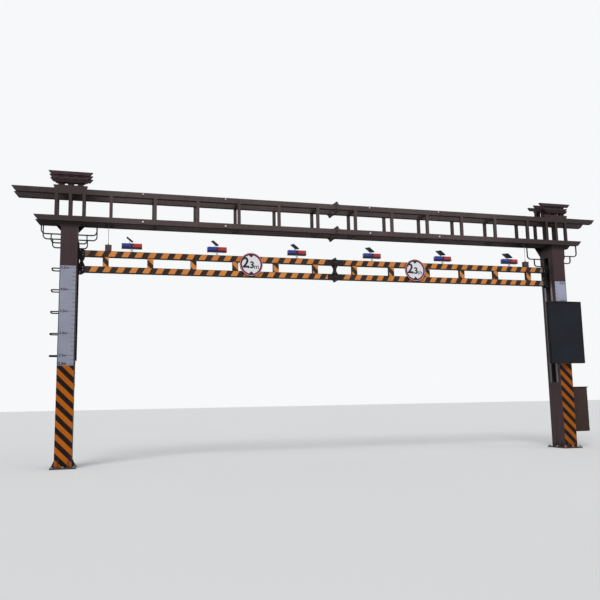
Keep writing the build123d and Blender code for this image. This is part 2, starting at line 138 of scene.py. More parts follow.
class Wire:
    """An output socket that takes part in arithmetic."""

    def __init__(self, nodes, socket):
        self.nodes = nodes
        self.socket = socket

    def other(self, output):
        """Another output of the same node."""
        return Wire(self.nodes, self.socket.node.outputs[output])

    def math(self, operation, *values):
        """Adds a Math node that works on these values."""
        settings = {"operation": operation}
        return self.nodes.add("ShaderNodeMath", settings, dict(enumerate(values)))

    def __add__(self, other):
        return self.math("ADD", self, other)

    def __radd__(self, other):
        return self.math("ADD", other, self)

    def __sub__(self, other):
        return self.math("SUBTRACT", self, other)

    def __rsub__(self, other):
        return self.math("SUBTRACT", other, self)

    def __mul__(self, other):
        return self.math("MULTIPLY", self, other)

    def __rmul__(self, other):
        return self.math("MULTIPLY", other, self)

    def __truediv__(self, other):
        return self.math("DIVIDE", self, other)

    def __rtruediv__(self, other):
        return self.math("DIVIDE", other, self)

    def __mod__(self, other):
        return self.math("FLOORED_MODULO", self, other)

    def __pow__(self, other):
        return self.math("POWER", self, other)

    def __abs__(self):
        return self.math("ABSOLUTE", self)

    def __gt__(self, other):
        return self.math("GREATER_THAN", self, other)

    def __lt__(self, other):
        return self.math("LESS_THAN", self, other)

    def sine(self):
        return self.math("SINE", self)

    def or_more(self, other):
        """The larger of the two."""
        return self.math("MAXIMUM", self, other)

    def ramp(self, low, high, to_low=0.0, to_high=1.0):
        """Maps low..high onto to_low..to_high and holds the ends."""
        values = {"Value": self, "From Min": low, "From Max": high}
        values.update({"To Min": to_low, "To Max": to_high})
        return self.nodes.add("ShaderNodeMapRange", {"clamp": True}, values)


class Nodes:
    """A node tree under construction."""

    def __init__(self, tree):
        self.tree = tree
        self.tree.nodes.clear()

    def add(self, kind, settings=None, inputs=None, output=0):
        """Adds a node with its settings, values and links, and gives one of its outputs."""
        node = self.tree.nodes.new(kind)
        for key, value in (settings or {}).items():
            setattr(node, key, value)
        for key, value in (inputs or {}).items():
            if isinstance(value, Wire):
                self.tree.links.new(value.socket, node.inputs[key])
            else:
                node.inputs[key].default_value = value
        return Wire(self, node.outputs[output]) if node.outputs else None

    def split(self, vector):
        """The three parts of a vector or colour."""
        first = self.add("ShaderNodeSeparateXYZ", inputs={"Vector": vector})
        return [first.other(n) for n in range(3)]


class Finish(Nodes):
    """A material under construction, with patterns that lie fixed in the frame's metres."""

    def __init__(self, name):
        self.material = bpy.data.materials.new(name)
        self.material.use_nodes = True
        super().__init__(self.material.node_tree)
        self.place = self.add("ShaderNodeTexCoord", output="Object")
        self.x, self.y, self.z = self.split(self.place)

    def facing(self):
        """How far the surface faces along X, Y and Z."""
        return self.split(self.add("ShaderNodeTexCoord", output="Normal"))

    def noise(self, scale, detail, stretch=(1, 1, 1)):
        """Cloudy noise. A larger stretch makes it finer that way."""
        spread = self.add("ShaderNodeMapping", inputs={"Vector": self.place, "Scale": stretch})
        values = {"Vector": spread, "Scale": scale, "Detail": detail, "Roughness": 0.55}
        return self.add("ShaderNodeTexNoise", inputs=values)

    def cells(self, scale, output="Distance"):
        """Small cells with a random colour each, or the distance to their middles."""
        values = {"Vector": self.place, "Scale": scale}
        return self.add("ShaderNodeTexVoronoi", inputs=values, output=output)

    def sheet_grain(self, scale=260.0):
        """Fine cells of a reflective or enamelled sheet."""
        return self.cells(scale).ramp(0.2, 0.6)

    def sheet_wear(self):
        """Worn patches of a sheet."""
        return self.noise(24, 4).ramp(0.45, 0.8)

    def mix(self, factor, one, two):
        """Mixes two colours. The node's colour sockets are 6 and 7, and its output 2."""
        settings = {"data_type": "RGBA", "clamp_factor": True}
        return self.add("ShaderNodeMix", settings, {0: factor, 6: one, 7: two}, 2)

    def rows(self, along, pitch, width):
        """1 on a line of that width at each pitch, 0 between."""
        return abs((along / pitch + 0.5) % 1.0 - 0.5) < width / pitch / 2

    def surface(
        self, colour, roughness, metallic=0.0, height=None, depth=0.001, shine=0.08, coat=0.0
    ):
        """Ends the material with a surface, with a relief where a height is given."""
        values = {"Base Color": colour, "Roughness": roughness, "Metallic": metallic}
        values.update({"Specular IOR Level": shine, "Coat Weight": coat})
        if height is not None:
            bump = {"Height": height, "Distance": depth, "Strength": 1.0}
            values["Normal"] = self.add("ShaderNodeBump", inputs=bump)
        shader = self.add("ShaderNodeBsdfPrincipled", inputs=values)
        self.add("ShaderNodeOutputMaterial", inputs={"Surface": shader})
        return self


def weathered(finish, colour, pale, dark):
    """Paint colour with cloudy fading, rain streaks, painted shade on what faces down and dust on what faces
    up.
    """
    dust = tone(128, 118, 112)
    cloud = finish.noise(0.9, 4).ramp(0.35, 0.7)
    speck = finish.noise(38, 2).ramp(0.5, 0.75)
    streak = finish.noise(1.0, 4, stretch=(17, 17, 0.7)).ramp(0.52, 0.72)
    _, _, tilt = finish.facing()
    settled = tilt.ramp(0.25, 0.9) * finish.noise(7, 4).ramp(0.3, 0.7, 0.45, 1.0)
    # Faces that look down get painted shade, a near-black brown, and are also made duller.
    under = tilt.ramp(-0.9, -0.3, 1.0, 0.0)
    colour = finish.mix(cloud * 0.6, colour, pale)
    colour = finish.mix(streak * 0.5, colour, dark)
    colour = finish.mix(speck * 0.12, colour, dust)
    colour = finish.mix(under * 0.8, colour, tone(24, 17, 19))
    return finish.mix(settled * 0.55, colour, dust), streak, under


def beam_paint(name, colour, pale, dark, gloss=0.46, shade=None):
    """Satin paint, dull and with painted shade underneath, darker still where a shade function says."""
    finish = Finish(name)
    colour, streak, under = weathered(finish, colour, pale, dark)
    if shade:
        colour = finish.mix(shade(finish), colour, tone(20, 14, 15))
    skin = finish.noise(240, 2) * 0.25 + finish.noise(9, 3) * 0.75
    roughness = finish.noise(5, 3).ramp(0.3, 0.7, gloss - 0.06, gloss + 0.1) + streak * 0.06
    return finish.surface(colour, roughness + under * 0.45, height=skin, depth=0.0012)


def near_girder(finish):
    """Darkens the heads of the columns, in the girder's shade."""
    return finish.z.ramp(GIRDER_UNDERSIDE - 0.19, GIRDER_UNDERSIDE - 0.07) * 0.95


def girder_shade(finish):
    """Darkens both ends, the far lower chord's front, and faces that look back along X."""
    sideways, across, _ = finish.facing()
    ends = finish.x.ramp(0.2, 1.2, 0.44, 0) + finish.x.ramp(10.8, 12.4, 0, 0.47)
    behind = (finish.y > 0.1) * (finish.z < 5.8) * (across < -0.5) * 0.4
    return ends + behind + (sideways < -0.5) * 0.45


def between_planks(finish):
    """Painted shade on the posts of a bracket cap, and on the plank in front of them."""
    return (finish.z > 6.447) * (finish.z < 6.594) * 0.6


def below_lugs(finish):
    """Darkens the lifting frame, but not the lugs on its top."""
    return (finish.z < LIFT_TOP + 0.002) * 0.75


def hazard_film(name, pitch, lean, orange, black):
    """Orange and black reflective film, with its bands at a phase kept in the mesh.

    The orange is duller near both ends of the lifting frame and on the right column; at the start of the
    upper chord's strip this is painted shade.
    """
    finish = Finish(name)
    phase = finish.add("ShaderNodeAttribute", {"attribute_name": "band_phase"}, output="Fac")
    band = finish.rows(finish.x + finish.z * lean - phase, pitch, pitch / 2)
    bright = finish.mix(finish.noise(2.5, 4).ramp(0.3, 0.7), *orange)
    deep = finish.mix(finish.noise(3.5, 3).ramp(0.3, 0.7), *black)
    # Greyer and darker towards the right end of the chords.
    greyed_end = finish.x.ramp(12.42, 12.55) * (finish.z > ABOVE_COLUMN_FILM)
    # Painted shade, dark and olive, at the start of the upper chord's strip.
    shaded_start = finish.x.ramp(0.55, 0.68, 0.75, 0) * (finish.z > ABOVE_LOWER_CHORD)
    right_column = (finish.x > MIDDLE) * (finish.z < ABOVE_COLUMN_FILM)
    bright = finish.mix(greyed_end * 0.9, bright, tone(124, 112, 106))
    bright = finish.mix(shaded_start, bright, tone(84, 76, 58))
    bright = finish.mix(right_column * 0.2, bright, deep)
    grime = finish.noise(1.0, 5, stretch=(22, 22, 1.3)).ramp(0.5, 0.8)
    colour = finish.mix(grime * 0.2, finish.mix(band, deep, bright), tone(76, 62, 52))
    return finish.surface(colour, grime * 0.2 + 0.4, height=finish.sheet_grain(), depth=0.0004)


def galvanised(name):
    """Stained zinc, paler from 2.4 m up, and dark above 4.5 m and inside the channel."""
    finish = Finish(name)
    spangle = finish.split(finish.cells(70, output="Color"))[0]
    stain = finish.noise(1.0, 4, stretch=(14, 14, 0.6)).ramp(0.45, 0.7)
    inside = (finish.y > -0.118) * (finish.y < 0.0995)
    colour = finish.mix(spangle, tone(106, 102, 104), tone(124, 120, 122))
    colour = finish.mix(stain * 0.7, colour, tone(80, 72, 70))
    colour = finish.mix(finish.z.ramp(2.4, 4.0) * 0.4, colour, tone(176, 170, 176))
    colour = finish.mix(finish.z.ramp(4.35, 4.6) * 0.9, colour, tone(54, 45, 46))
    colour = finish.mix(inside * 0.85, colour, tone(38, 32, 33))
    roughness = spangle * 0.16 + 0.42 + stain * 0.15
    return finish.surface(colour, roughness, 0.25, finish.noise(60, 3), 0.0006)


def bolt_zinc(name):
    """Bright zinc of bolts, with darker patches."""
    finish = Finish(name)
    patches = finish.noise(45, 3).ramp(0.35, 0.7)
    colour = finish.mix(patches, tone(158, 158, 156), tone(118, 112, 104))
    return finish.surface(colour, finish.noise(80, 2).ramp(0.3, 0.7, 0.35, 0.55), 0.8)


def ruler_sheet(name):
    """Grey-blue enamelled plate with a dark edge, paler on the right column."""
    finish = Finish(name)
    cloud = finish.noise(2.2, 4).ramp(0.3, 0.7)
    streak = finish.noise(1.0, 5, stretch=(28, 28, 1.0)).ramp(0.5, 0.75)
    edge = abs(finish.x - MIDDLE) > MIDDLE + RULER_HALF - 0.006
    colour = finish.mix(cloud, tone(144, 147, 163), tone(132, 135, 150))
    colour = finish.mix(streak * 0.25, colour, tone(158, 160, 168))
    colour = finish.mix((finish.x > MIDDLE) * 0.8, colour, tone(160, 165, 184))
    colour = finish.mix(edge * 0.85, colour, tone(62, 56, 60))
    grain = finish.sheet_grain(220.0)
    return finish.surface(colour, streak * 0.1 + 0.38, height=grain, depth=0.0003)


def flat_enamel(name, colour, worn):
    """One flat colour of a sheet or its lettering, with worn patches."""
    finish = Finish(name)
    wear = finish.sheet_wear()
    colour = finish.mix(wear * 0.5, colour, worn)
    return finish.surface(colour, wear * 0.15 + 0.35, height=finish.sheet_grain(), depth=0.0002)


def sign_sheet(name):
    """Pale back of the signs with a dark red rim."""
    finish = Finish(name)
    across = abs(finish.x - MIDDLE) - SIGN_PLACE
    rise = finish.z - SIGN_HEIGHT
    rim = (across * across + rise * rise) ** 0.5 > SIGN_RADIUS - 0.005
    pale = finish.mix(finish.sheet_wear() * 0.5, tone(198, 198, 202), tone(172, 172, 176))
    colour = finish.mix(rim, pale, tone(118, 22, 42))
    return finish.surface(colour, 0.4, height=finish.sheet_grain(), depth=0.0002)


def lens(name, colour, deep):
    """Ribbed lamp cover with rows of small emitters behind it."""
    finish = Finish(name)
    rib = (finish.x * (math.tau / 0.012)).sine()
    emitter_row = finish.rows(finish.z - (LAMP_BOTTOM + 0.017), 0.034, 0.018)
    emitters = finish.rows(finish.x, 0.030, 0.016) * emitter_row
    dust = finish.noise(18, 4).ramp(0.5, 0.8)
    tint = finish.mix(finish.z.ramp(LAMP_BOTTOM, LAMP_TOP), deep, colour)
    tint = finish.mix(emitters * 0.16, tint, tone(226, 226, 232))
    tint = finish.mix(dust * 0.1, tint, tone(140, 132, 126))
    return finish.surface(tint, dust * 0.15 + 0.35, height=rib, depth=0.0015, coat=0.08)


def solar_cells(name):
    """Dark blue cells with fine silver lines, on the slope of the panel."""
    finish = Finish(name)
    lines = finish.rows(finish.y, 0.031, 0.0016).or_more(finish.rows(finish.z, 0.022, 0.0012))
    grain = finish.split(finish.cells(120, output="Color"))[0]
    blue = finish.mix(grain, tone(20, 24, 40), tone(34, 42, 66))
    colour = finish.mix(lines * 0.7, blue, tone(150, 152, 158))
    return finish.surface(colour, 0.2, height=lines, depth=0.0003, coat=0.5)


def display_face(name):
    """Unlit matrix of emitters in square modules."""
    finish = Finish(name)
    module, emitter = 0.160, 0.010
    (left, _, bottom), _ = DISPLAY
    along = finish.x - (left + 0.045)
    rise = finish.z - (bottom + 0.05)
    seam = finish.rows(along, module, 0.0022).or_more(finish.rows(rise, module, 0.0022))
    dots = finish.rows(along, emitter, 0.0052) * finish.rows(rise, emitter, 0.0052)
    colour = finish.mix(finish.noise(1.6, 3).ramp(0.3, 0.7), tone(30, 32, 37), tone(36, 38, 45))
    colour = finish.mix(dots * 0.5, colour, tone(54, 57, 68))
    colour = finish.mix(seam * 0.6, colour, tone(12, 14, 17))
    return finish.surface(colour, 0.65, height=dots - seam, depth=0.0012, shine=0.06)


def rope_steel(name):
    """Bright wires that wind round the rope, with painted shade between them."""
    finish = Finish(name)
    turn = (finish.z * 700 + finish.x * 900).sine()
    colour = finish.mix(turn.ramp(-1, 1), tone(120, 122, 126), tone(190, 192, 196))
    return finish.surface(colour, 0.42, 0.7, turn, 0.0006)


def matt_plastic(name, colour):
    """Dark plastic with greyed wear and a fine grain."""
    finish = Finish(name)
    colour = finish.mix(finish.noise(30, 4).ramp(0.4, 0.8), colour, tone(70, 70, 72))
    return finish.surface(colour, 0.55, height=finish.noise(300, 2), depth=0.0005)


# Paints, each as its colour with a paler and a darker one
BROWN = (tone(76, 64, 64), tone(90, 79, 78), tone(56, 45, 46))
COLUMN_BROWN = (tone(61, 46, 49), tone(70, 55, 58), tone(50, 38, 41))
FOOT_BROWN = (tone(60, 47, 47), tone(74, 60, 58), tone(46, 36, 36))
DARK_BROWN = (tone(20, 15, 18), tone(30, 24, 27), tone(14, 10, 13))
CABINET_BROWN = (tone(54, 41, 39), tone(62, 49, 46), tone(44, 33, 32))
HOUSING_BLACK = (tone(16, 16, 19), tone(24, 24, 28), tone(12, 12, 15))
girder_brown = beam_paint("girder_brown_paint", *BROWN, shade=girder_shade)
lift_brown = beam_paint("lift_brown_paint", *BROWN, shade=below_lugs)
column_brown = beam_paint("column_brown_paint", *COLUMN_BROWN, shade=near_girder)
cap_brown = beam_paint("cap_brown_paint", *COLUMN_BROWN, shade=between_planks)
foot_brown = beam_paint("foot_brown_paint", *FOOT_BROWN, 0.5)
dark_brown = beam_paint("carriage_dark_paint", *DARK_BROWN, 0.55)
cabinet_brown = beam_paint("cabinet_brown_paint", *CABINET_BROWN, 0.44)
display_housing = beam_paint("display_housing_paint", *HOUSING_BLACK, 0.6)

# Films, each with two oranges and two blacks
CHORD_ORANGE = (tone(210, 136, 68), tone(196, 122, 62))
CHORD_BLACK = (tone(48, 38, 34), tone(58, 48, 44))
COLUMN_ORANGE = (tone(176, 94, 14), tone(162, 84, 16))
COLUMN_BLACK = (tone(20, 13, 13), tone(32, 24, 24))
chord_film = hazard_film("chord_hazard_film", CHORD_PITCH, CHORD_LEAN, CHORD_ORANGE, CHORD_BLACK)
post_film = hazard_film("post_hazard_film", UPRIGHT_PITCH, UPRIGHT_LEAN, CHORD_ORANGE, CHORD_BLACK)
upright_film = hazard_film(
    "upright_hazard_film", UPRIGHT_PITCH, UPRIGHT_LEAN, COLUMN_ORANGE, COLUMN_BLACK
)

guide_zinc = galvanised("guide_galvanised")
bolts_zinc = bolt_zinc("bolt_zinc")
rope_wire = rope_steel("rope_wire")
ruler_enamel = ruler_sheet("ruler_enamel")
ink_black = flat_enamel("ink_black", tone(44, 44, 50), tone(76, 76, 82))
ink_red = flat_enamel("ink_red", tone(122, 44, 48), tone(140, 76, 80))
sign_white = flat_enamel("sign_white_sheet", tone(222, 222, 226), tone(196, 196, 200))
sign_red = flat_enamel("sign_red_sheet", tone(126, 20, 42), tone(140, 44, 60))
sign_back = sign_sheet("sign_back_sheet")
blue_lens = lens("blue_lens", tone(34, 62, 158), tone(14, 26, 104))
red_lens = lens("red_lens", tone(200, 46, 52), tone(134, 24, 34))
cell_blue = solar_cells("solar_cells")
black_plastic = matt_plastic("black_plastic", tone(32, 33, 38))
display_matrix = display_face("display_matrix")


def faces_at(corners):
    """The faces that meet these corners."""
    return list({face for corner in corners for face in corner.link_faces})


def paint(corners, finish):
    """Gives the faces at these corners the finish of that number on their piece."""
    for face in faces_at(corners):
        face.material_index = finish


def add_block(shape, low, high, rounding=0.0, finish=0, turn=None):
    """Adds a box between two corners, with rounded edges and an optional turn about its middle."""
    low, high = Vector(low), Vector(high)
    place = Matrix.Translation((low + high) / 2) @ (turn or Matrix())
    place = place @ Matrix.Diagonal((*(high - low), 1))
    corners = bmesh.ops.create_cube(shape, size=1, matrix=place)["verts"]
    paint(corners, finish)
    if rounding:
        edges = list({edge for corner in corners for edge in corner.link_edges})
        bmesh.ops.bevel(
            shape,
            geom=edges,
            offset=rounding,
            affect="EDGES",
            segments=2,
            profile=0.5,
            material=-1,
        )
    return corners


def add_rod(shape, start, end, radius, sides=16, finish=0, tip=None):
    """Adds a round or many-sided rod between two points, with an optional narrower tip."""
    start, end = Vector(start), Vector(end)
    axis = end - start
    turn = axis.to_track_quat("Z", "Y").to_matrix().to_4x4()
    made = bmesh.ops.create_cone(
        shape,
        cap_ends=True,
        segments=sides,
        radius1=radius,
        radius2=radius if tip is None else tip,
        depth=axis.length,
        matrix=Matrix.Translation((start + end) / 2) @ turn,
    )
    paint(made["verts"], finish)


def add_peg(shape, seat, reach, radius, sides=16, finish=0, tip=None):
    """Adds a rod that stands on a seat and reaches that far from it."""
    add_rod(shape, seat, Vector(seat) + Vector(reach), radius, sides, finish, tip)


def add_bolt(shape, seat, way, size, finish=0):
    """Adds a washer, a hexagon nut and a stub of thread that stand on a seat."""
    seat, way = Vector(seat), Vector(way) * size
    washer, nut, thread = way * 0.18, way * 0.95, way * 1.3
    add_rod(shape, seat, seat + washer, size * 1.1, 20, finish)
    add_rod(shape, seat + washer, seat + nut, size * 0.93, 6, finish)
    add_rod(shape, seat + nut, seat + thread, size * 0.5, 12, finish)


def add_disc(shape, centre, radius, finish, hole=0.0):
    """Adds a flat disc, or a ring round a hole, that faces the approach side."""
    centre = Vector(centre)
    upright = Matrix.Translation(centre) @ Matrix.Rotation(math.pi / 2, 4, "X")
    corners = bmesh.ops.create_circle(
        shape, cap_ends=not hole, segments=96, radius=radius, matrix=upright
    )["verts"]
    if hole:
        rim = list({edge for corner in corners for edge in corner.link_edges})
        swept = bmesh.ops.extrude_edge_only(shape, edges=rim)["geom"]
        corners = [part for part in swept if isinstance(part, bmesh.types.BMVert)]
        inwards = (hole / radius, 1, hole / radius)
        bmesh.ops.scale(shape, verts=corners, vec=inwards, space=Matrix.Translation(-centre))
    paint(corners, finish)
    made = faces_at(corners)
    bmesh.ops.recalc_face_normals(shape, faces=made)
    for face in made:
        if face.normal.y > 0:
            face.normal_flip()


def add_words(shape, words, height, middle, finish, weight=0.0):
    """Adds plain lettering that faces the approach side."""
    letters = bpy.data.curves.new("letters", "FONT")
    letters.body = words
    letters.size = height / CAPITAL_HEIGHT
    letters.extrude = 0.0003
    letters.offset = weight
    letters.align_x = "CENTER"
    letters.align_y = "CENTER"
    holder = bpy.data.objects.new("letters", letters)
    bpy.context.scene.collection.objects.link(holder)
    drawn = holder.evaluated_get(bpy.context.evaluated_depsgraph_get())
    mesh = bpy.data.meshes.new_from_object(drawn)
    mesh.transform(Matrix.Translation(middle) @ Matrix.Rotation(math.pi / 2, 4, "X"))
    known = set(shape.faces)
    shape.from_mesh(mesh)
    for face in set(shape.faces) - known:
        face.material_index = finish
    bpy.data.objects.remove(holder)
    bpy.data.curves.remove(letters)
    bpy.data.meshes.remove(mesh)


def settle(shape, name, finishes, body, replaced=()):
    """Turns a finished shape into a piece, which rides on a body if one is named."""
    mesh = bpy.data.meshes.new(name)
    shape.to_mesh(mesh)
    shape.free()
    for finish in finishes:
        mesh.materials.append(finish.material)
    mesh.shade_smooth()
    mesh.set_sharp_from_angle(angle=SMOOTH_ANGLE)
    piece = bpy.data.objects.new(name, mesh)
    bpy.context.scene.collection.objects.link(piece)
    if body:
        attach(piece, body)
    if replaced:
        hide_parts(*replaced)
    return piece


def add_film(shape, face, low, high, phase):
    """Adds a strip of film on a face, between two (x, z) corners, and keeps its bands' phase."""
    layers = shape.verts.layers.float
    layer = layers.get("band_phase") or layers.new("band_phase")
    start = (low[0], face - FILM_PROUD, low[1])
    end = (high[0], face + FILM_SUNK, high[1])
    for corner in add_block(shape, start, end):
        corner[layer] = phase


def column_film(name):
    """Hazard film on the approach face of a column, below its ruler."""
    shape = bmesh.new()
    half = COLUMN_HALF - 0.003
    low = (COLUMNS[name] - half, 0.04)
    high = (COLUMNS[name] + half, RULER_BOTTOM - 0.002)
    add_film(shape, COLUMN_FRONT, low, high, COLUMN_BANDS[name])
    settle(shape, f"column_film_{name}", [upright_film], "gantry")


def chord_films():
    """Hazard film on the approach face of the lifting frame's chords, left and right."""
    left, right = (0.351, 6.305), (6.705, 12.655)
    lower = (LIFT_BOTTOM + 0.016, LIFT_BOTTOM + LIFT_CHORD - 0.007)
    upper = (LIFT_TOP - LIFT_CHORD + 0.016, LIFT_TOP - 0.007)
    strips = (
        (left, upper, 0.069),
        (right, upper, 0.182),
        (left, lower, 0.252),
        (right, lower, 0.140),
    )
    shape = bmesh.new()
    for (start, end), (bottom, top), phase in strips:
        shifted = phase + CHORD_LEAN * (bottom + top) / 2
        add_film(shape, LIFT_FACE, (start, bottom), (end, top), shifted)
    settle(shape, "lift_chord_films", [chord_film], "lifting_frame")


def post_films():
    """Hazard film on the approach face of the lifting frame's posts."""
    half = LIFT_POST_HALF - 0.001
    bottom, top = LIFT_BOTTOM + LIFT_CHORD, LIFT_TOP - LIFT_CHORD
    shape = bmesh.new()
    for place, phase in zip(LIFT_POSTS, LEFT_POST_BANDS + RIGHT_POST_BANDS):
        add_film(shape, LIFT_FACE, (place - half, bottom), (place + half, top), phase)
    settle(shape, "lift_post_films", [post_film], "lifting_frame")


def ruler_marks(name):
    """Scale lines, labels and rivets of a ruler plate, with the lines from its inner edge."""
    black, red, zinc = range(3)
    centre = COLUMNS[name]
    inner = centre + INWARD[name] * (RULER_HALF - 0.0075)
    label_place = centre - INWARD[name] * 0.075
    label_face = RULER_FACE - 0.0004
    shape = bmesh.new()

    def line(reach, height, thick, finish):
        near, far = sorted((inner, inner - INWARD[name] * reach))
        low = (near, RULER_FACE - 0.0006, height - thick / 2)
        high = (far, RULER_FACE + 0.0005, height + thick / 2)
        add_block(shape, low, high, finish=finish)

    for step in range(SCALE_LINES):
        height = SCALE_START + step * SCALE_STEP
        if step % 5 == 1:
            line(0.165, height, 0.006, black)
            middle = (label_place, label_face, height)
            add_words(shape, f"{height:.1f}m", 0.062, middle, black, 0.002)
        else:
            line(0.075, height, 0.007, black)
    line(0.11, HEIGHT_LIMIT, 0.006, red)
    middle = (label_place, label_face, HEIGHT_LIMIT + 0.015)
    add_words(shape, f"{HEIGHT_LIMIT:.1f}m", 0.066, middle, black, 0.004)
    for height in (2.29, 3.41, 4.53):
        for edge in (-1, 1):
            seat = (centre + edge * (RULER_HALF - 0.012), RULER_FACE, height)
            add_peg(shape, seat, (0, -0.003, 0), 0.006, 16, zinc, 0.003)
    finishes = [ink_black, ink_red, bolts_zinc]
    settle(shape, f"ruler_marks_{name}", finishes, "gantry")


def sign_face(name, place):
    """White face, red ring, black arrowheads, the height limit as plain figures, and rivets."""
    white, red, ink, zinc = range(4)
    front = SIGN_FACE - 0.0005
    ring_width = 0.057
    upright = Matrix.Rotation(math.pi / 2, 4, "X")
    shape = bmesh.new()
    add_disc(shape, (place, front, SIGN_HEIGHT), SIGN_RADIUS - 0.002, white)
    ring_middle, ring_radius = (place, front - 0.0004, SIGN_HEIGHT), SIGN_RADIUS - 0.001
    add_disc(shape, ring_middle, ring_radius, red, hole=ring_radius - ring_width)
    for way in (-1, 1):
        middle = Matrix.Translation((place, front - 0.0006, SIGN_HEIGHT + way * 0.225))
        arrowhead = bmesh.ops.create_cone(
            shape,
            cap_ends=True,
            segments=3,
            radius1=0.097,
            radius2=0.097,
            depth=0.0006,
            matrix=middle @ upright @ Matrix.Diagonal((1, -way * 0.55, 1, 1)),
        )["verts"]
        paint(arrowhead, ink)
        bmesh.ops.recalc_face_normals(shape, faces=faces_at(arrowhead))
    base = SIGN_HEIGHT - 0.100
    figures = (
        ("2", 0.262, -0.140, 0.131, 0.010),
        (".3", 0.170, -0.006, 0.081, 0.008),
        ("m", 0.125, 0.132, 0.042, 0.002),
    )
    for words, height, shift, rise, weight in figures:
        middle = (place + shift, front - 0.0009, base + rise)
        add_words(shape, words, height, middle, ink, weight)
    for way in (-1, 1):
        seat = (place, front - 0.0004, SIGN_HEIGHT + way * 0.268)
        add_peg(shape, seat, (0, -0.004, 0), 0.009, 16, zinc, 0.005)
    finishes = [sign_white, sign_red, ink_black, bolts_zinc]
    settle(shape, f"sign_face_{name}", finishes, "lifting_frame")


def add_lamp_bar(shape, place, plastic, blue, red):
    """Adds the tray, the rib in its middle and the two ribbed covers of a lamp bar."""
    tray = LAMP_BOTTOM + 0.020
    blocks = (
        (-0.240, 0.240, 0.064, LAMP_BOTTOM, tray, 0.005, plastic),
        (-0.009, 0.009, 0.062, tray, LAMP_TOP - 0.001, 0.004, plastic),
        (-0.238, -0.010, 0.060, tray, LAMP_TOP - 0.002, 0.014, blue),
        (0.010, 0.238, 0.060, tray, LAMP_TOP - 0.002, 0.014, red),
    )
    for start, end, depth, bottom, top, rounding, finish in blocks:
        low, high = (place + start, -depth, bottom), (place + end, depth, top)
        add_block(shape, low, high, rounding, finish)
    for height in (LAMP_BOTTOM + 0.048, LAMP_BOTTOM + 0.092):
        for start, end, finish in ((-0.226, -0.022, blue), (0.022, 0.226, red)):
            low = (place + start, -0.0625, height - 0.003)
            add_block(shape, low, (place + end, -0.058, height + 0.003), 0.001, finish)


def add_lamp_stand(shape, place, stand, zinc):
    """Adds the foot, the post with its collar and the two bolts that carry a lamp bar."""
    foot = LIFT_TOP + 0.008
    add_block(shape, (place - 0.060, -0.040, LIFT_TOP), (place + 0.060, 0.040, foot), 0.002, stand)
    add_rod(shape, (place, 0, foot), (place, 0, LAMP_BOTTOM), 0.021, 24, stand)
    add_peg(shape, (place, 0, LIFT_TOP + 0.030), (0, 0, 0.022), 0.028, 24, stand)
    for way in (-1, 1):
        add_bolt(shape, (place + way * 0.044, 0, foot), (0, 0, 1), 0.009, zinc)


def add_solar_panel(shape, place, plastic, cells):
    """Adds a tilted panel with its cells and junction box, on a thin arm."""
    middle = Vector((place - 0.050, 0, LAMP_TOP + 0.095))
    tilt = Matrix.Rotation(math.radians(9), 4, "X") @ Matrix.Rotation(math.radians(38), 4, "Y")
    add_rod(shape, (middle.x, 0, LAMP_TOP), middle, 0.006, 12, plastic)
    layers = (
        (0.0, (0.0925, 0.155, 0.0110), 0.003, plastic),
        (0.0111, (0.0845, 0.147, 0.0004), 0.0, cells),
        (-0.0110, (0.022, 0.035, 0.006), 0.002, plastic),
    )
    for rise, half, rounding, finish in layers:
        centre = middle + tilt @ Vector((0, 0, rise))
        half = Vector(half)
        add_block(shape, centre - half, centre + half, rounding, finish, tilt)


def lamp(number, place):
    """Two-colour lamp bar on its stand, with a tilted solar panel on a thin arm."""
    plastic, blue, red, stand, zinc, cells = range(6)
    shape = bmesh.new()
    add_lamp_bar(shape, place, plastic, blue, red)
    add_lamp_stand(shape, place, stand, zinc)
    add_solar_panel(shape, place, plastic, cells)
    finishes = [black_plastic, blue_lens, red_lens, sign_white, bolts_zinc, cell_blue]
    name = f"lamp_bar_{number}"
    settle(shape, name, finishes, "lifting_frame", (f"lamp_{number}",))


def display_box():
    """Display housing with rounded corners, a sunken matrix and service latches at its back."""
    housing, matrix, zinc = range(3)
    rim_width, sunk, corner_radius = 0.028, 0.010, 0.012
    low, high = (Vector(corner) for corner in DISPLAY)
    shape = bmesh.new()
    add_block(shape, low, high, finish=housing)
    front = min(shape.faces, key=lambda face: face.calc_center_median().y)
    bmesh.ops.inset_region(shape, faces=[front], thickness=rim_width, depth=0.0)
    bmesh.ops.inset_region(shape, faces=[front], thickness=0.004, depth=-sunk)
    front.material_index = matrix

    def outermost(corner):
        gaps = (min(abs(corner.co[n] - low[n]), abs(corner.co[n] - high[n])) for n in (0, 2))
        return max(gaps) < 1e-4

    edges = [edge for edge in shape.edges if all(outermost(corner) for corner in edge.verts)]
    bmesh.ops.bevel(
        shape,
        geom=edges,
        offset=corner_radius,
        affect="EDGES",
        segments=4,
        profile=0.5,
        material=-1,
    )
    for height in (low.z + 0.35, high.z - 0.35):
        for place in (low.x + 0.10, high.x - 0.10):
            add_peg(shape, (place, high.y, height), (0, 0.006, 0), 0.016, 20, zinc)
    finishes = [display_housing, display_matrix, bolts_zinc]
    settle(shape, "display_box", finishes, "gantry", ("display",))


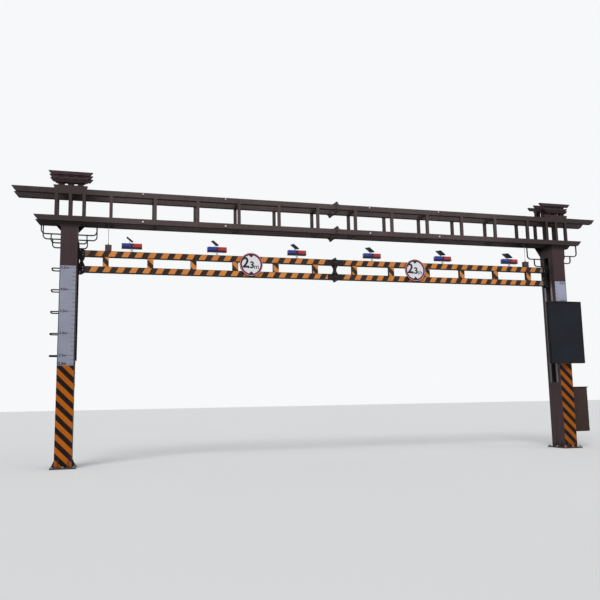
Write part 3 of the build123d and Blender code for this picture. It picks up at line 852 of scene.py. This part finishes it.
def cabinet_fittings():
    """Door, hinges, latch with its lock and vent slats of the control cabinet."""
    brown, zinc, plastic = range(3)
    door_edge, roof_edge = 0.018, 0.045
    low, high = (Vector(corner) for corner in CABINET)
    halfway = (low.z + high.z) / 2
    shape = bmesh.new()
    near = (low.x + door_edge, low.y - 0.006, low.z + door_edge)
    add_block(shape, near, (high.x - door_edge, low.y + 0.001, high.z - roof_edge), 0.002, brown)
    for height in (low.z + 0.16, halfway, high.z - 0.20):
        seat = (high.x - 0.014, low.y - 0.007, height - 0.04)
        add_peg(shape, seat, (0, 0, 0.08), 0.007, 16, zinc)
    latch = Vector((low.x + 0.055, low.y - 0.006, halfway))
    near, far = latch - Vector((0.014, 0.008, 0.060)), latch + Vector((0.014, 0.002, 0.060))
    add_block(shape, near, far, 0.004, plastic)
    add_peg(shape, latch + Vector((0, -0.008, -0.035)), (0, -0.004, 0), 0.009, 20, zinc)
    for step in range(5):
        height = low.z + 0.10 + step * 0.022
        near = (low.x + 0.16, low.y - 0.0085, height)
        add_block(shape, near, (high.x - 0.16, low.y - 0.004, height + 0.006), 0.0015, brown)
    finishes = [cabinet_brown, bolts_zinc, black_plastic]
    settle(shape, "cabinet_fittings", finishes, "gantry")


def anchor_bolts(name):
    """Nuts on the anchor bolts of a base plate."""
    half_width, half_depth, size = 0.235, 0.345, 0.028
    shape = bmesh.new()
    for x in (-half_width, 0, half_width):
        for y in (-half_depth, 0, half_depth):
            if x or y:
                add_bolt(shape, (COLUMNS[name] + x, y, PLATE_TOP), (0, 0, 1), size)
    settle(shape, f"anchor_bolts_{name}", [bolts_zinc], "gantry")


def girder_splice_bolts():
    """Bolts through the splice flanges in the middle of the girder."""
    size = 0.013
    spots = [(y, z) for y in (-0.0975, 0.0975) for z in (-0.035, 0.035)]
    spots += [(y, z) for y in (-0.040, 0.040) for z in (-0.100, 0.100)]
    shape = bmesh.new()
    for depth in CHORD_DEPTHS:
        for height in CHORD_HEIGHTS:
            for y, z in spots:
                for way in (-1, 1):
                    seat = (MIDDLE + way * FLANGE_FACE, depth + y, height + z)
                    add_bolt(shape, seat, (way, 0, 0), size)
    settle(shape, "girder_splice_bolts", [bolts_zinc], "gantry")


def lift_splice_bolts():
    """Bolts through the splice flange of the lifting frame and through its carriages."""
    size, flange_reach, carriage_face = 0.011, 0.074, 0.050
    flange_heights = (4.435, 4.525, 4.645, 4.780, 4.900, 4.990)
    carriage_rows = ((0.310, (4.505, 4.565, 4.860, 4.920)), (0.245, (4.450, 4.975)))
    shape = bmesh.new()
    for height in flange_heights:
        for y in (-flange_reach, flange_reach):
            for way in (-1, 1):
                add_bolt(shape, (MIDDLE + way * FLANGE_FACE, y, height), (way, 0, 0), size)
    for name, column in COLUMNS.items():
        for x, heights in carriage_rows:
            for height in heights:
                for way in (-1, 1):
                    seat = (column + INWARD[name] * x, way * carriage_face, height)
                    add_bolt(shape, seat, (0, way, 0), size)
    settle(shape, "lift_splice_bolts", [bolts_zinc], "lifting_frame")


def guide_bolts(name):
    """Bolt heads along the lips of a guide channel."""
    inward = INWARD[name]
    count, first, pitch, reach = 14, 1.86, 0.255, 0.140
    shape = bmesh.new()
    for step in range(count):
        for y in (-reach, reach):
            seat = (COLUMNS[name] + inward * GUIDE_LIP, y, first + step * pitch)
            add_peg(shape, seat, (inward * 0.008, 0, 0), 0.012, 6)
    settle(shape, f"guide_bolts_{name}", [bolts_zinc], "gantry")


def guide_flanges():
    """Edge strips that stand out from the lips of the left guide channel."""
    bottom, top, width = 2.400, 5.150, 0.028
    shape = bmesh.new()
    for near, far in ((-0.171, -0.163), (0.163, 0.171)):
        add_block(shape, (GUIDE_LIP, near, bottom), (GUIDE_LIP + width, far, top), 0.002)
    settle(shape, "guide_flanges_left", [dark_brown], "gantry")


def cap_plank(name):
    """Lower front plank of a bracket cap, outside its posts, narrower below."""
    centre = COLUMNS[name]
    half, narrower = 0.375, 0.85
    bottom, top = 6.500, 6.572
    shape = bmesh.new()
    corners = add_block(shape, (centre - half, -0.332, bottom), (centre + half, -0.204, top))
    lower = [corner for corner in corners if corner.co.z < (bottom + top) / 2]
    middle = Matrix.Translation((-centre, 0, 0))
    bmesh.ops.scale(shape, verts=lower, vec=(narrower, 1, 1), space=middle)
    settle(shape, f"cap_plank_{name}", [cap_brown], "gantry")


def chord_studs():
    """Pale domed studs on the approach faces of the girder chords, each over a dark block that is its
    painted shadow.
    """
    pale, dark = range(2)
    places = (1.65, 3.63, 7.415, 9.39)
    lower, upper = (5.655, 0.020), (6.333, 0.015)
    out = Vector((0, -0.006, 0))
    shape = bmesh.new()
    for place in places:
        for height, radius in (lower, upper):
            seat = Vector((place, GIRDER_FRONT, height))
            add_peg(shape, seat, out, radius + 0.003, 24, pale)
            dome = bmesh.ops.create_uvsphere(
                shape,
                u_segments=20,
                v_segments=10,
                radius=radius,
                matrix=Matrix.Translation(seat + out),
            )["verts"]
            paint(dome, pale)
            # The dark block below each stud is its painted shadow.
            low = seat + Vector((-0.013, -0.010, -0.046))
            high = seat + Vector((0.013, 0.001, -0.020))
            add_block(shape, low, high, 0.002, dark)
    settle(shape, "chord_studs", [sign_white, black_plastic], "gantry")


def hoist_rope(name):
    """Stranded rope from the lug on the lifting frame up to the cross tie."""
    strands, radius, groove = 6, 0.006, 0.72
    steps, twist = 48, Matrix.Rotation(math.radians(32), 3, "Z")
    place = COLUMNS[name] + INWARD[name] * LUG_PLACE
    foot = Vector((place, 0, LUG_TOP))
    rise = Vector((0, 0, (TIE_UNDERSIDE - LUG_TOP) / steps))
    shape = bmesh.new()
    ring = bmesh.ops.create_circle(
        shape, segments=2 * strands, radius=radius, matrix=Matrix.Translation(foot)
    )["verts"]
    for corner in ring[1::2]:
        corner.co = foot + (corner.co - foot) * groove
    edges = list({edge for corner in ring for edge in corner.link_edges})
    for _ in range(steps):
        made = bmesh.ops.extrude_edge_only(shape, edges=edges)["geom"]
        ring = [part for part in made if isinstance(part, bmesh.types.BMVert)]
        edges = [part for part in made if isinstance(part, bmesh.types.BMEdge)]
        bmesh.ops.translate(shape, verts=ring, vec=rise)
        bmesh.ops.rotate(shape, verts=ring, cent=foot, matrix=twist)
    bmesh.ops.recalc_face_normals(shape, faces=shape.faces)
    replaced = (f"hoist_cable_{name}",)
    rope = settle(shape, f"hoist_rope_{name}", [rope_wire], None, replaced)
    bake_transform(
        rope,
        "lifting_frame",
        "gantry",
        start=(place, 0, LUG_TOP),
        end=(place, 0, TIE_UNDERSIDE),
    )


def lug_fittings(name):
    """Cap plate with its bolts and rope socket on a lifting lug."""
    brown, zinc = range(2)
    place = COLUMNS[name] + INWARD[name] * LUG_PLACE
    plate = LUG_TOP + 0.002
    shape = bmesh.new()
    low, high = (place - 0.073, -0.048, LUG_TOP - 0.004), (place + 0.073, 0.048, plate)
    add_block(shape, low, high, 0.001, brown)
    add_peg(shape, (place, 0, LUG_TOP), (0, 0, 0.030), 0.017, 20, zinc)
    add_peg(shape, (place, 0, LUG_TOP + 0.030), (0, 0, 0.030), 0.017, 20, zinc, 0.008)
    for way in (-1, 1):
        add_bolt(shape, (place + way * 0.045, 0, plate), (0, 0, 1), 0.009, zinc)
    finishes = [girder_brown, bolts_zinc]
    settle(shape, f"lug_fittings_{name}", finishes, "lifting_frame")


def dress_nodes():
    """Gives each CAD node its finish: the girder's brown, unless its name starts as below."""
    finishes = {
        "column": column_brown,
        "bracket_cap": cap_brown,
        "lift_frame": lift_brown,
        "base_plate": foot_brown,
        "scroll": dark_brown,
        "climbing_iron": dark_brown,
        "guide_channel": guide_zinc,
        "ruler_plate": ruler_enamel,
        "carriage": dark_brown,
        "sign": sign_back,
        "control_cabinet": cabinet_brown,
    }
    for name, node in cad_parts.items():
        known = (finish for start, finish in finishes.items() if name.startswith(start))
        finish = next(known, girder_brown)
        for place in node.material_slots:
            place.material = finish.material


def studio_floor():
    """Pale matt floor."""
    shape = bmesh.new()
    bmesh.ops.create_grid(shape, x_segments=1, y_segments=1, size=150)
    mesh = bpy.data.meshes.new("floor")
    shape.to_mesh(mesh)
    shape.free()
    finish = Finish("floor_pale")
    colour = finish.mix(finish.noise(0.15, 2), (0.80, 0.80, 0.80, 1), (0.83, 0.83, 0.83, 1))
    mesh.materials.append(finish.surface(colour, 0.9).material)
    floor = bpy.data.objects.new("floor", mesh)
    bpy.context.scene.collection.objects.link(floor)


def studio_light():
    """Even light with a pale backdrop, and two wide suns."""
    world = bpy.data.worlds.new("studio")
    bpy.context.scene.world = world
    world.use_nodes = True
    nodes = Nodes(world.node_tree)
    bright, pale = (0.96, 0.98, 1.0, 1), (0.93, 0.94, 0.95, 1)
    rays = nodes.add("ShaderNodeLightPath", output="Is Camera Ray")
    seen = rays.or_more(rays.other("Is Glossy Ray")).or_more(rays.other("Is Transmission Ray"))
    light = nodes.add("ShaderNodeBackground", inputs={"Color": bright, "Strength": 0.45})
    backdrop = nodes.add("ShaderNodeBackground", inputs={"Color": pale})
    both = nodes.add("ShaderNodeMixShader", inputs={0: seen, 1: light, 2: backdrop})
    nodes.add("ShaderNodeOutputWorld", inputs={0: both})
    for name, strength, spread, turn in (
        ("key", 1.6, 28, (48, 0, -28)),
        ("fill", 0.35, 60, (60, 0, 40)),
    ):
        sun = bpy.data.lights.new(name, "SUN")
        sun.energy = strength
        sun.angle = math.radians(spread)
        holder = bpy.data.objects.new(name, sun)
        holder.rotation_euler = [math.radians(angle) for angle in turn]
        bpy.context.scene.collection.objects.link(holder)


def studio_camera():
    """Camera at the picture's viewing angle."""
    place = (0.757, -16.935, 1.410)
    yaw, pitch, roll = (math.radians(angle) for angle in (15.870, 8.090, -1.042))
    level = math.cos(pitch)
    forward = Vector((math.sin(yaw) * level, math.cos(yaw) * level, math.sin(pitch)))
    right = Vector((math.cos(yaw), -math.sin(yaw), 0))
    up = right.cross(forward)
    rolled_right = right * math.cos(roll) + up * math.sin(roll)
    rolled_up = up * math.cos(roll) - right * math.sin(roll)
    optics = bpy.data.cameras.new("camera")
    optics.sensor_width = 36.0
    optics.lens = 42.23
    optics.clip_end = 500.0
    camera = bpy.data.objects.new("camera", optics)
    axes = Matrix((rolled_right, rolled_up, -forward)).transposed().to_4x4()
    camera.matrix_world = Matrix.Translation(place) @ axes
    bpy.context.scene.collection.objects.link(camera)
    bpy.context.scene.camera = camera
    bpy.context.scene.view_settings.view_transform = "Standard"


dress_nodes()
for column in COLUMNS:
    column_film(column)
    ruler_marks(column)
    anchor_bolts(column)
    guide_bolts(column)
    hoist_rope(column)
    lug_fittings(column)
    cap_plank(column)
chord_films()
post_films()
sign_face("left", MIDDLE - SIGN_PLACE)
sign_face("right", MIDDLE + SIGN_PLACE)
for count, lamp_place in enumerate(LAMP_PLACES, 1):
    lamp(count, lamp_place)
display_box()
cabinet_fittings()
girder_splice_bolts()
lift_splice_bolts()
chord_studs()
guide_flanges()
studio_floor()
studio_light()
studio_camera()
